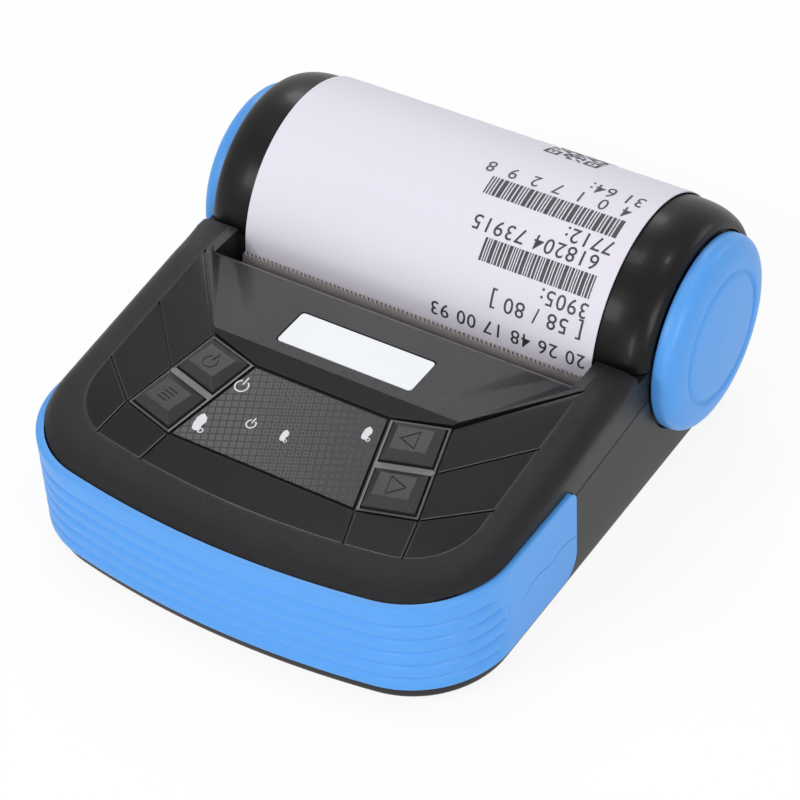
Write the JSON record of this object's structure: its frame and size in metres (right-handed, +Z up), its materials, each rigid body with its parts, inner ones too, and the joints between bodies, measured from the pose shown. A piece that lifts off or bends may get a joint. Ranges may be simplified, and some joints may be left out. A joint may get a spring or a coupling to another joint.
{
  "type": "portable receipt printer",
  "caption": "Portable receipt printer: hinged drum cover over a paper roll, side release discs, toothed tear bar, sloping deck with keys and a ribbed wrap-round bumper.",
  "frame": {"origin": "on the surface the printer stands on, under the middle of its outer box", "axes": "+X to the printer's right seen from the keys, -Y towards the bumper end with the keys, +Y towards the hinge, +Z up"},
  "size_m": [0.1112, 0.1204, 0.0513],
  "materials": {
    "shell_black": "fine moulded texture",
    "deck_black": "fine moulded texture",
    "gloss_black": "polished",
    "key_black": "satin",
    "label_film": "printed film",
    "white_plate": "satin, bare",
    "blue_plastic": "satin",
    "foot_rubber": "matt",
    "platen_rubber": "ground",
    "blade_steel": "stamped strip",
    "screw_steel": "blackened",
    "switch_steel": "plated",
    "spring_steel": "drawn wire",
    "shaft_steel": "ground",
    "socket_steel": "plated",
    "zinc_steel": "zinc plated sheet",
    "heat_sink_aluminium": "mill",
    "head_ceramic": "glazed",
    "gear_nylon": "natural nylon",
    "bush_brass": "turned",
    "roll_paper": "smooth thermal paper",
    "receipt_paper": "smooth thermal paper, printed",
    "core_card": "plain",
    "board_green": "solder mask",
    "battery_wrap": "shrink sleeve"
  },
  "bodies": {
    "body": {"lower_shell": "shell_black", "upper_shell": "deck_black", "front_bumper": "blue_plastic", "key_label": "label_film", "name_plate": "white_plate", "key_board": "board_green", "switch_power": "switch_steel", "switch_menu": "switch_steel", "switch_left": "switch_steel", "switch_right": "switch_steel", "tear_bar": "blade_steel", "foot_front_left": "foot_rubber", "foot_front_right": "foot_rubber", "foot_rear_left": "foot_rubber", "foot_rear_right": "foot_rubber", "case_screw_front_left": "screw_steel", "case_screw_front_right": "screw_steel", "case_screw_mid_left": "screw_steel", "case_screw_mid_right": "screw_steel", "mechanism_frame": "zinc_steel", "head_heat_sink": "heat_sink_aluminium", "print_head": "head_ceramic", "head_spring_left": "spring_steel", "head_spring_right": "spring_steel", "stepper_motor": "zinc_steel", "lower_gear_axle": "shaft_steel", "middle_gear_axle": "shaft_steel", "paper_bin": "shell_black", "paper_web": "roll_paper", "hinge_pin": "shaft_steel", "disc_spring_left": "spring_steel", "disc_spring_right": "spring_steel", "battery_pack": "battery_wrap", "main_board": "board_green", "charging_socket": "socket_steel"},
    "cover": {"cover_shell": "gloss_black", "cover_liner": "shell_black", "platen_bush_left": "bush_brass", "platen_bush_right": "bush_brass", "receipt_strip": "receipt_paper"},
    "platen": {"platen_rubber": "platen_rubber", "platen_shaft": "shaft_steel", "platen_gear": "gear_nylon"},
    "lower_idler": {"lower_gear": "gear_nylon"},
    "middle_idler": {"middle_gear": "gear_nylon"},
    "pinion": {"motor_pinion": "gear_nylon"},
    "roll": {"paper_roll": "roll_paper", "roll_core": "core_card"},
    "power_key": {"key_power": "key_black"},
    "menu_key": {"key_menu": "key_black"},
    "left_key": {"key_left": "key_black"},
    "right_key": {"key_right": "key_black"},
    "disc_left": {"release_disc_left": "blue_plastic", "latch_plate_left": "gear_nylon"},
    "disc_right": {"release_disc_right": "blue_plastic", "latch_plate_right": "gear_nylon"}
  },
  "joints": [
    {"name": "cover_hinge", "type": "hinge", "parent": "body", "child": "cover", "pos_m": [0, 0.0576, 0.029], "axis": [-1, 0, 0], "range_deg": [0, 90], "deforming": ["paper_web"]},
    {"name": "platen_spin", "type": "hinge", "parent": "cover", "child": "platen", "pos_m": [0, 0.0176, 0.0228], "axis": [1, 0, 0], "continuous": true},
    {"name": "lower_idler_spin", "type": "hinge", "parent": "body", "child": "lower_idler", "pos_m": [0, 0.01898, 0.01391], "axis": [1, 0, 0], "continuous": true},
    {"name": "middle_idler_spin", "type": "hinge", "parent": "body", "child": "middle_idler", "pos_m": [0, 0.00702, 0.01291], "axis": [1, 0, 0], "continuous": true},
    {"name": "pinion_spin", "type": "hinge", "parent": "body", "child": "pinion", "pos_m": [0, -0.003, 0.011], "axis": [1, 0, 0], "continuous": true},
    {"name": "roll_spin", "type": "hinge", "parent": "body", "child": "roll", "pos_m": [0, 0.0386, 0.0231], "axis": [1, 0, 0], "continuous": true},
    {"name": "power_key_press", "type": "slide", "parent": "body", "child": "power_key", "axis": [0, 0.1512, -0.9885], "range_m": [0, 0.0009], "stiffness_N_per_m": 600, "springref_m": -0.0002},
    {"name": "menu_key_press", "type": "slide", "parent": "body", "child": "menu_key", "axis": [0, 0.1512, -0.9885], "range_m": [0, 0.0009], "stiffness_N_per_m": 600, "springref_m": -0.0002},
    {"name": "left_key_press", "type": "slide", "parent": "body", "child": "left_key", "axis": [0, 0.1512, -0.9885], "range_m": [0, 0.0009], "stiffness_N_per_m": 600, "springref_m": -0.0002},
    {"name": "right_key_press", "type": "slide", "parent": "body", "child": "right_key", "axis": [0, 0.1512, -0.9885], "range_m": [0, 0.0009], "stiffness_N_per_m": 600, "springref_m": -0.0002},
    {"name": "disc_left_push", "type": "slide", "parent": "body", "child": "disc_left", "axis": [1, 0, 0], "range_m": [0, 0.0016], "stiffness_N_per_m": 700, "springref_m": -0.0008, "deforming": ["disc_spring_left"]},
    {"name": "disc_right_push", "type": "slide", "parent": "body", "child": "disc_right", "axis": [-1, 0, 0], "range_m": [0, 0.0016], "stiffness_N_per_m": 700, "springref_m": -0.0008, "deforming": ["disc_spring_right"]}
  ],
  "couplings": [
    {"joint": "lower_idler_spin", "follows": "platen_spin", "ratio": -1.1429},
    {"joint": "middle_idler_spin", "follows": "platen_spin", "ratio": 0.61538},
    {"joint": "pinion_spin", "follows": "platen_spin", "ratio": -2}
  ]
}
